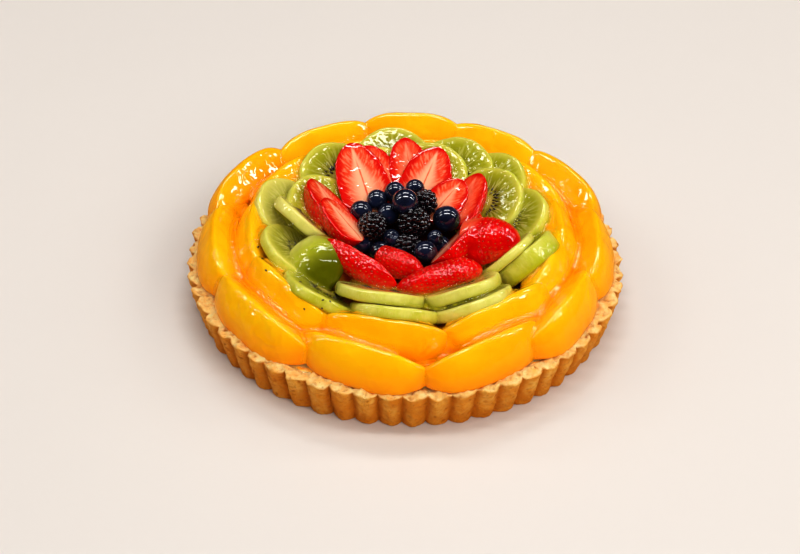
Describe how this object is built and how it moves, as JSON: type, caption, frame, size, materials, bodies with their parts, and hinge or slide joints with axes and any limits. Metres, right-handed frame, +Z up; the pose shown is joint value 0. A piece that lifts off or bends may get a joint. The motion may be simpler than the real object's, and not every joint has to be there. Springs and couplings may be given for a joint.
{
  "type": "fruit tart",
  "caption": "Round fruit tart: a fluted baked case filled with custard and covered in peach and kiwi slices, with halved strawberries and dark berries in the middle.",
  "frame": {"origin": "centre of the case's flat underside, on the surface it stands on", "axes": "+Z up; the front, the side the tart is looked at from, faces -Y; +X to its right"},
  "size_m": [0.239, 0.239, 0.0609],
  "materials": {
    "baked_crust": "baked shortcrust pastry, dry and crumbly",
    "custard": "set custard under a thin glaze",
    "peach": "peach flesh, wet with clear glaze",
    "kiwi": "kiwi flesh, wet with clear glaze",
    "strawberry": "cut strawberry, wet with clear glaze",
    "blueberry": "dark berry skin, wet with clear glaze",
    "bramble": "dark bramble, wet with clear glaze"
  },
  "bodies": {
    "root": {"blueberry_01": "blueberry", "blueberry_02": "blueberry", "blueberry_03": "blueberry", "blueberry_04": "blueberry", "blueberry_05": "blueberry", "blueberry_07": "blueberry", "blueberry_08": "blueberry", "bramble_01": "bramble", "bramble_02": "bramble", "crust": "baked_crust", "custard": "custard", "inner_kiwi_01": "kiwi", "inner_kiwi_02": "kiwi", "inner_kiwi_03": "kiwi", "inner_kiwi_04": "kiwi", "inner_kiwi_05": "kiwi", "inner_kiwi_07": "kiwi", "inner_kiwi_08": "kiwi", "inner_peach_01": "peach", "inner_peach_02": "peach", "inner_peach_03": "peach", "inner_peach_05": "peach", "inner_peach_09": "peach", "inner_peach_10": "peach", "inner_peach_11": "peach", "kiwi_end": "kiwi", "outer_kiwi_01": "kiwi", "outer_kiwi_02": "kiwi", "outer_kiwi_03": "kiwi", "outer_kiwi_04": "kiwi", "outer_kiwi_05": "kiwi", "outer_kiwi_06": "kiwi", "outer_kiwi_07": "kiwi", "outer_kiwi_08": "kiwi", "outer_kiwi_09": "kiwi", "outer_kiwi_10": "kiwi", "outer_kiwi_11": "kiwi", "outer_peach_01": "peach", "outer_peach_02": "peach", "outer_peach_03": "peach", "outer_peach_04": "peach", "outer_peach_05": "peach", "outer_peach_06": "peach", "outer_peach_07": "peach", "outer_peach_08": "peach", "outer_peach_09": "peach", "outer_peach_10": "peach", "outer_peach_11": "peach", "strawberry_01": "strawberry", "strawberry_03": "strawberry", "strawberry_04": "strawberry", "strawberry_05": "strawberry", "strawberry_06": "strawberry", "strawberry_07": "strawberry", "strawberry_08": "strawberry", "strawberry_09": "strawberry", "strawberry_10": "strawberry", "strawberry_11": "strawberry", "strawberry_12": "strawberry", "strawberry_13": "strawberry"}
  },
  "joints": []
}
